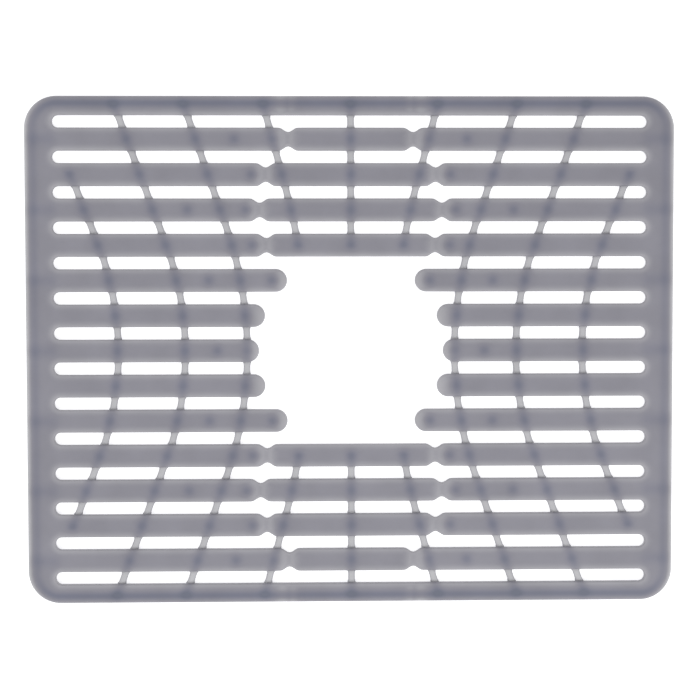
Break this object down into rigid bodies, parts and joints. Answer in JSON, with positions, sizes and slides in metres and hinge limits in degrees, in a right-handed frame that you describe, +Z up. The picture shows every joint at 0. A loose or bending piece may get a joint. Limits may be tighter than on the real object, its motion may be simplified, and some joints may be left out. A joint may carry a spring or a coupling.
{
  "type": "sink mat",
  "caption": "Flexible slatted silicone sink mat with a drain opening, ribbed and footed underside, and notched slats whose middles can be cut away.",
  "frame": {"origin": "middle of the mat on the plane of its feet", "axes": "+X along the slats, +Y towards the rear edge, +Z up out of the sink"},
  "size_m": [0.413, 0.323, 0.006],
  "materials": {
    "slat_silicone": "translucent matte grey silicone",
    "rim_silicone": "translucent matte grey silicone"
  },
  "bodies": {
    "rear_rim": {"rim_rear": "rim_silicone"},
    "row_01": {"slat_01_left": "slat_silicone", "slat_01_middle": "slat_silicone", "slat_01_right": "slat_silicone"},
    "row_02": {"slat_02_left": "slat_silicone", "slat_02_middle": "slat_silicone", "slat_02_right": "slat_silicone"},
    "row_03": {"slat_03_left": "slat_silicone", "slat_03_middle": "slat_silicone", "slat_03_right": "slat_silicone"},
    "row_04": {"slat_04_left": "slat_silicone", "slat_04_middle": "slat_silicone", "slat_04_right": "slat_silicone"},
    "row_05": {"slat_05_left": "slat_silicone", "slat_05_right": "slat_silicone"},
    "row_06": {"slat_06_left": "slat_silicone", "slat_06_right": "slat_silicone"},
    "row_07": {"slat_07_left": "slat_silicone", "slat_07_right": "slat_silicone"},
    "row_08": {"slat_08_left": "slat_silicone", "slat_08_right": "slat_silicone"},
    "row_09": {"slat_09_left": "slat_silicone", "slat_09_right": "slat_silicone"},
    "row_10": {"slat_10_left": "slat_silicone", "slat_10_middle": "slat_silicone", "slat_10_right": "slat_silicone"},
    "row_11": {"slat_11_left": "slat_silicone", "slat_11_middle": "slat_silicone", "slat_11_right": "slat_silicone"},
    "row_12": {"slat_12_left": "slat_silicone", "slat_12_middle": "slat_silicone", "slat_12_right": "slat_silicone"},
    "row_13": {"slat_13_left": "slat_silicone", "slat_13_middle": "slat_silicone", "slat_13_right": "slat_silicone"},
    "front_rim": {"rim_front": "rim_silicone"}
  },
  "joints": [
    {"name": "flex_01", "type": "hinge", "parent": "row_01", "child": "rear_rim", "pos_m": [0, 0.14534, 0.0035], "axis": [1, 0, 0], "range_deg": [-22, 22], "stiffness_Nm_per_rad": 0.05},
    {"name": "flex_02", "type": "hinge", "parent": "row_02", "child": "row_01", "pos_m": [0, 0.12298, 0.0035], "axis": [1, 0, 0], "range_deg": [-22, 22], "stiffness_Nm_per_rad": 0.05},
    {"name": "flex_03", "type": "hinge", "parent": "row_03", "child": "row_02", "pos_m": [0, 0.10062, 0.0035], "axis": [1, 0, 0], "range_deg": [-22, 22], "stiffness_Nm_per_rad": 0.05},
    {"name": "flex_04", "type": "hinge", "parent": "row_04", "child": "row_03", "pos_m": [0, 0.07826, 0.0035], "axis": [1, 0, 0], "range_deg": [-22, 22], "stiffness_Nm_per_rad": 0.05},
    {"name": "flex_05", "type": "hinge", "parent": "row_05", "child": "row_04", "pos_m": [0, 0.0559, 0.0035], "axis": [1, 0, 0], "range_deg": [-22, 22], "stiffness_Nm_per_rad": 0.05},
    {"name": "flex_06", "type": "hinge", "parent": "row_06", "child": "row_05", "pos_m": [0, 0.03354, 0.0035], "axis": [1, 0, 0], "range_deg": [-22, 22], "stiffness_Nm_per_rad": 0.05},
    {"name": "flex_07", "type": "hinge", "parent": "row_07", "child": "row_06", "pos_m": [0, 0.01118, 0.0035], "axis": [1, 0, 0], "range_deg": [-22, 22], "stiffness_Nm_per_rad": 0.05},
    {"name": "flex_08", "type": "hinge", "parent": "row_07", "child": "row_08", "pos_m": [0, -0.01118, 0.0035], "axis": [-1, 0, 0], "range_deg": [-22, 22], "stiffness_Nm_per_rad": 0.05},
    {"name": "flex_09", "type": "hinge", "parent": "row_08", "child": "row_09", "pos_m": [0, -0.03354, 0.0035], "axis": [-1, 0, 0], "range_deg": [-22, 22], "stiffness_Nm_per_rad": 0.05},
    {"name": "flex_10", "type": "hinge", "parent": "row_09", "child": "row_10", "pos_m": [0, -0.0559, 0.0035], "axis": [-1, 0, 0], "range_deg": [-22, 22], "stiffness_Nm_per_rad": 0.05},
    {"name": "flex_11", "type": "hinge", "parent": "row_10", "child": "row_11", "pos_m": [0, -0.07826, 0.0035], "axis": [-1, 0, 0], "range_deg": [-22, 22], "stiffness_Nm_per_rad": 0.05},
    {"name": "flex_12", "type": "hinge", "parent": "row_11", "child": "row_12", "pos_m": [0, -0.10062, 0.0035], "axis": [-1, 0, 0], "range_deg": [-22, 22], "stiffness_Nm_per_rad": 0.05},
    {"name": "flex_13", "type": "hinge", "parent": "row_12", "child": "row_13", "pos_m": [0, -0.12298, 0.0035], "axis": [-1, 0, 0], "range_deg": [-22, 22], "stiffness_Nm_per_rad": 0.05},
    {"name": "flex_14", "type": "hinge", "parent": "row_13", "child": "front_rim", "pos_m": [0, -0.14534, 0.0035], "axis": [-1, 0, 0], "range_deg": [-22, 22], "stiffness_Nm_per_rad": 0.05}
  ]
}
